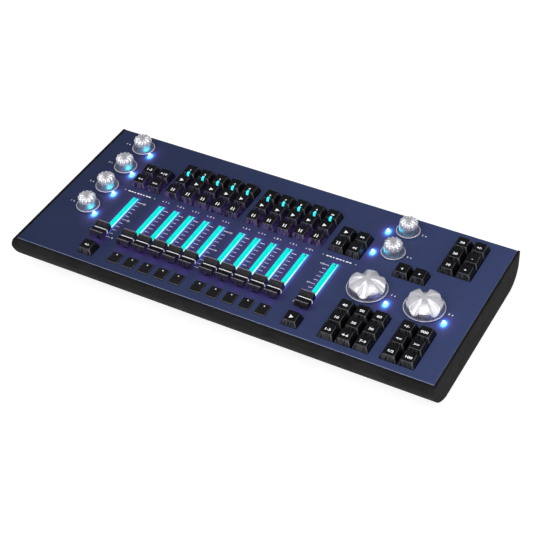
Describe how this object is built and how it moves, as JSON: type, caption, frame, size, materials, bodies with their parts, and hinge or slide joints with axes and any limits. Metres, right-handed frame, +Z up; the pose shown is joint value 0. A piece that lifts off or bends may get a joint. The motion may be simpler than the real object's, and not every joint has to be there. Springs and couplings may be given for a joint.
{
  "type": "lighting control desk",
  "caption": "Compact lighting control desk with lit faders, keys, low flash buttons and clear skirted encoders on a blue panel in a thin black case.",
  "frame": {"origin": "middle of the footprint, on the surface that the feet stand on", "axes": "+X to the operator's right along the desk, +Y to the back, +Z up"},
  "size_m": [0.4934, 0.2231, 0.0594],
  "materials": {
    "case_black": "fine matt texture",
    "panel_blue": "dark blue satin coat with a bright cut edge",
    "foot_rubber": "matt rubber",
    "screw_steel": "black oxide steel",
    "socket_metal": "tinned steel",
    "inlet_black": "moulded black",
    "board_green": "solder-masked board",
    "standoff_brass": "turned brass",
    "switch_black": "moulded black",
    "fader_metal": "plated sheet",
    "light_guide": "lit translucent guide",
    "indicator_blue": "lit diffused lens",
    "keycap_black": "semi-gloss keycap with white legend",
    "fader_cap_black": "satin cap with a white line",
    "flash_black": "satin low button",
    "knob_silver": "frosted silver dome on a clear skirt"
  },
  "bodies": {
    "desk": {"board_standoffs": "standoff_brass", "case_screws": "screw_steel", "dc_inlet": "inlet_black", "encoder_bodies": "fader_metal", "encoder_lights": "indicator_blue", "fader_bodies": "fader_metal", "fader_light_guides": "light_guide", "flash_switches": "switch_black", "key_switches": "switch_black", "left_cheek": "case_black", "lower_shell": "case_black", "main_board": "board_green", "right_cheek": "case_black", "rubber_feet": "foot_rubber", "top_panel": "panel_blue", "usb_socket": "socket_metal"},
    "keys_master_block_body": {"keys_master_block": "keycap_black"},
    "keys_crossfade_block_body": {"keys_crossfade_block": "keycap_black"},
    "keys_head_block_body": {"keys_head_block": "keycap_black"},
    "keys_upper_right_block_body": {"keys_upper_right_block": "keycap_black"},
    "keys_number_block_body": {"keys_number_block": "keycap_black"},
    "keys_far_right_block_body": {"keys_far_right_block": "keycap_black"},
    "key_below_master_body": {"key_below_master": "keycap_black"},
    "key_below_crossfade_body": {"key_below_crossfade": "keycap_black"},
    "keys_bank_1_pause_body": {"keys_bank_1_pause": "keycap_black"},
    "keys_bank_1_go_body": {"keys_bank_1_go": "keycap_black"},
    "keys_bank_1_select_body": {"keys_bank_1_select": "keycap_black"},
    "keys_bank_2_pause_body": {"keys_bank_2_pause": "keycap_black"},
    "keys_bank_2_go_body": {"keys_bank_2_go": "keycap_black"},
    "keys_bank_2_select_body": {"keys_bank_2_select": "keycap_black"},
    "flash_button_01_body": {"flash_button_01": "flash_black"},
    "flash_button_02_body": {"flash_button_02": "flash_black"},
    "flash_button_03_body": {"flash_button_03": "flash_black"},
    "flash_button_04_body": {"flash_button_04": "flash_black"},
    "flash_button_05_body": {"flash_button_05": "flash_black"},
    "flash_button_06_body": {"flash_button_06": "flash_black"},
    "flash_button_07_body": {"flash_button_07": "flash_black"},
    "flash_button_08_body": {"flash_button_08": "flash_black"},
    "flash_button_09_body": {"flash_button_09": "flash_black"},
    "flash_button_10_body": {"flash_button_10": "flash_black"},
    "fader_cap_master_body": {"fader_cap_master": "fader_cap_black"},
    "fader_cap_01_body": {"fader_cap_01": "fader_cap_black"},
    "fader_cap_02_body": {"fader_cap_02": "fader_cap_black"},
    "fader_cap_03_body": {"fader_cap_03": "fader_cap_black"},
    "fader_cap_04_body": {"fader_cap_04": "fader_cap_black"},
    "fader_cap_05_body": {"fader_cap_05": "fader_cap_black"},
    "fader_cap_06_body": {"fader_cap_06": "fader_cap_black"},
    "fader_cap_07_body": {"fader_cap_07": "fader_cap_black"},
    "fader_cap_08_body": {"fader_cap_08": "fader_cap_black"},
    "fader_cap_09_body": {"fader_cap_09": "fader_cap_black"},
    "fader_cap_10_body": {"fader_cap_10": "fader_cap_black"},
    "fader_cap_crossfade_body": {"fader_cap_crossfade": "fader_cap_black"},
    "encoder_knob_a_body": {"encoder_knob_a": "knob_silver"},
    "encoder_knob_b_body": {"encoder_knob_b": "knob_silver"},
    "encoder_knob_c_body": {"encoder_knob_c": "knob_silver"},
    "encoder_knob_d_body": {"encoder_knob_d": "knob_silver"},
    "encoder_knob_e_body": {"encoder_knob_e": "knob_silver"},
    "encoder_knob_f_body": {"encoder_knob_f": "knob_silver"},
    "encoder_knob_x_body": {"encoder_knob_x": "knob_silver"},
    "encoder_knob_y_body": {"encoder_knob_y": "knob_silver"}
  },
  "joints": [
    {"name": "keys_master_block_press", "type": "slide", "parent": "desk", "child": "keys_master_block_body", "axis": [0, 0, 1], "range_m": [-0.004, 0], "stiffness_N_per_m": 600, "springref_m": 0.003},
    {"name": "keys_crossfade_block_press", "type": "slide", "parent": "desk", "child": "keys_crossfade_block_body", "axis": [0, 0, 1], "range_m": [-0.004, 0], "stiffness_N_per_m": 600, "springref_m": 0.003},
    {"name": "keys_head_block_press", "type": "slide", "parent": "desk", "child": "keys_head_block_body", "axis": [0, 0, 1], "range_m": [-0.004, 0], "stiffness_N_per_m": 300, "springref_m": 0.003},
    {"name": "keys_upper_right_block_press", "type": "slide", "parent": "desk", "child": "keys_upper_right_block_body", "axis": [0, 0, 1], "range_m": [-0.004, 0], "stiffness_N_per_m": 900, "springref_m": 0.003},
    {"name": "keys_number_block_press", "type": "slide", "parent": "desk", "child": "keys_number_block_body", "axis": [0, 0, 1], "range_m": [-0.004, 0], "stiffness_N_per_m": 1350, "springref_m": 0.003},
    {"name": "keys_far_right_block_press", "type": "slide", "parent": "desk", "child": "keys_far_right_block_body", "axis": [0, 0, 1], "range_m": [-0.004, 0], "stiffness_N_per_m": 900, "springref_m": 0.003},
    {"name": "key_below_master_press", "type": "slide", "parent": "desk", "child": "key_below_master_body", "axis": [0, 0, 1], "range_m": [-0.004, 0], "stiffness_N_per_m": 150, "springref_m": 0.003},
    {"name": "key_below_crossfade_press", "type": "slide", "parent": "desk", "child": "key_below_crossfade_body", "axis": [0, 0, 1], "range_m": [-0.004, 0], "stiffness_N_per_m": 150, "springref_m": 0.003},
    {"name": "keys_bank_1_pause_press", "type": "slide", "parent": "desk", "child": "keys_bank_1_pause_body", "axis": [0, 0, 1], "range_m": [-0.004, 0], "stiffness_N_per_m": 750, "springref_m": 0.003},
    {"name": "keys_bank_1_go_press", "type": "slide", "parent": "desk", "child": "keys_bank_1_go_body", "axis": [0, 0, 1], "range_m": [-0.004, 0], "stiffness_N_per_m": 750, "springref_m": 0.003},
    {"name": "keys_bank_1_select_press", "type": "slide", "parent": "desk", "child": "keys_bank_1_select_body", "axis": [0, 0, 1], "range_m": [-0.004, 0], "stiffness_N_per_m": 750, "springref_m": 0.003},
    {"name": "keys_bank_2_pause_press", "type": "slide", "parent": "desk", "child": "keys_bank_2_pause_body", "axis": [0, 0, 1], "range_m": [-0.004, 0], "stiffness_N_per_m": 750, "springref_m": 0.003},
    {"name": "keys_bank_2_go_press", "type": "slide", "parent": "desk", "child": "keys_bank_2_go_body", "axis": [0, 0, 1], "range_m": [-0.004, 0], "stiffness_N_per_m": 750, "springref_m": 0.003},
    {"name": "keys_bank_2_select_press", "type": "slide", "parent": "desk", "child": "keys_bank_2_select_body", "axis": [0, 0, 1], "range_m": [-0.004, 0], "stiffness_N_per_m": 750, "springref_m": 0.003},
    {"name": "flash_button_01_press", "type": "slide", "parent": "desk", "child": "flash_button_01_body", "axis": [0, 0, 1], "range_m": [-0.0015, 0], "stiffness_N_per_m": 300, "springref_m": 0.001},
    {"name": "flash_button_02_press", "type": "slide", "parent": "desk", "child": "flash_button_02_body", "axis": [0, 0, 1], "range_m": [-0.0015, 0], "stiffness_N_per_m": 300, "springref_m": 0.001},
    {"name": "flash_button_03_press", "type": "slide", "parent": "desk", "child": "flash_button_03_body", "axis": [0, 0, 1], "range_m": [-0.0015, 0], "stiffness_N_per_m": 300, "springref_m": 0.001},
    {"name": "flash_button_04_press", "type": "slide", "parent": "desk", "child": "flash_button_04_body", "axis": [0, 0, 1], "range_m": [-0.0015, 0], "stiffness_N_per_m": 300, "springref_m": 0.001},
    {"name": "flash_button_05_press", "type": "slide", "parent": "desk", "child": "flash_button_05_body", "axis": [0, 0, 1], "range_m": [-0.0015, 0], "stiffness_N_per_m": 300, "springref_m": 0.001},
    {"name": "flash_button_06_press", "type": "slide", "parent": "desk", "child": "flash_button_06_body", "axis": [0, 0, 1], "range_m": [-0.0015, 0], "stiffness_N_per_m": 300, "springref_m": 0.001},
    {"name": "flash_button_07_press", "type": "slide", "parent": "desk", "child": "flash_button_07_body", "axis": [0, 0, 1], "range_m": [-0.0015, 0], "stiffness_N_per_m": 300, "springref_m": 0.001},
    {"name": "flash_button_08_press", "type": "slide", "parent": "desk", "child": "flash_button_08_body", "axis": [0, 0, 1], "range_m": [-0.0015, 0], "stiffness_N_per_m": 300, "springref_m": 0.001},
    {"name": "flash_button_09_press", "type": "slide", "parent": "desk", "child": "flash_button_09_body", "axis": [0, 0, 1], "range_m": [-0.0015, 0], "stiffness_N_per_m": 300, "springref_m": 0.001},
    {"name": "flash_button_10_press", "type": "slide", "parent": "desk", "child": "flash_button_10_body", "axis": [0, 0, 1], "range_m": [-0.0015, 0], "stiffness_N_per_m": 300, "springref_m": 0.001},
    {"name": "fader_cap_master_slide", "type": "slide", "parent": "desk", "child": "fader_cap_master_body", "axis": [0, 1, 0], "range_m": [0, 0.06]},
    {"name": "fader_cap_01_slide", "type": "slide", "parent": "desk", "child": "fader_cap_01_body", "axis": [0, 1, 0], "range_m": [0, 0.06]},
    {"name": "fader_cap_02_slide", "type": "slide", "parent": "desk", "child": "fader_cap_02_body", "axis": [0, 1, 0], "range_m": [0, 0.06]},
    {"name": "fader_cap_03_slide", "type": "slide", "parent": "desk", "child": "fader_cap_03_body", "axis": [0, 1, 0], "range_m": [0, 0.06]},
    {"name": "fader_cap_04_slide", "type": "slide", "parent": "desk", "child": "fader_cap_04_body", "axis": [0, 1, 0], "range_m": [0, 0.06]},
    {"name": "fader_cap_05_slide", "type": "slide", "parent": "desk", "child": "fader_cap_05_body", "axis": [0, 1, 0], "range_m": [0, 0.06]},
    {"name": "fader_cap_06_slide", "type": "slide", "parent": "desk", "child": "fader_cap_06_body", "axis": [0, 1, 0], "range_m": [0, 0.06]},
    {"name": "fader_cap_07_slide", "type": "slide", "parent": "desk", "child": "fader_cap_07_body", "axis": [0, 1, 0], "range_m": [0, 0.06]},
    {"name": "fader_cap_08_slide", "type": "slide", "parent": "desk", "child": "fader_cap_08_body", "axis": [0, 1, 0], "range_m": [0, 0.06]},
    {"name": "fader_cap_09_slide", "type": "slide", "parent": "desk", "child": "fader_cap_09_body", "axis": [0, 1, 0], "range_m": [0, 0.06]},
    {"name": "fader_cap_10_slide", "type": "slide", "parent": "desk", "child": "fader_cap_10_body", "axis": [0, 1, 0], "range_m": [0, 0.06]},
    {"name": "fader_cap_crossfade_slide", "type": "slide", "parent": "desk", "child": "fader_cap_crossfade_body", "axis": [0, 1, 0], "range_m": [0, 0.06]},
    {"name": "encoder_knob_a_turn", "type": "hinge", "parent": "desk", "child": "encoder_knob_a_body", "pos_m": [-0.20445, -0.0254, 0.043], "axis": [0, 0, 1], "continuous": true},
    {"name": "encoder_knob_b_turn", "type": "hinge", "parent": "desk", "child": "encoder_knob_b_body", "pos_m": [-0.20445, 0.0127, 0.043], "axis": [0, 0, 1], "continuous": true},
    {"name": "encoder_knob_c_turn", "type": "hinge", "parent": "desk", "child": "encoder_knob_c_body", "pos_m": [-0.20445, 0.0508, 0.043], "axis": [0, 0, 1], "continuous": true},
    {"name": "encoder_knob_d_turn", "type": "hinge", "parent": "desk", "child": "encoder_knob_d_body", "pos_m": [-0.20445, 0.0889, 0.043], "axis": [0, 0, 1], "continuous": true},
    {"name": "encoder_knob_e_turn", "type": "hinge", "parent": "desk", "child": "encoder_knob_e_body", "pos_m": [0.12925, 0.0889, 0.043], "axis": [0, 0, 1], "continuous": true},
    {"name": "encoder_knob_f_turn", "type": "hinge", "parent": "desk", "child": "encoder_knob_f_body", "pos_m": [0.12925, 0.0508, 0.043], "axis": [0, 0, 1], "continuous": true},
    {"name": "encoder_knob_x_turn", "type": "hinge", "parent": "desk", "child": "encoder_knob_x_body", "pos_m": [0.12925, -0.0115, 0.043], "axis": [0, 0, 1], "continuous": true},
    {"name": "encoder_knob_y_turn", "type": "hinge", "parent": "desk", "child": "encoder_knob_y_body", "pos_m": [0.19275, -0.0115, 0.043], "axis": [0, 0, 1], "continuous": true}
  ]
}
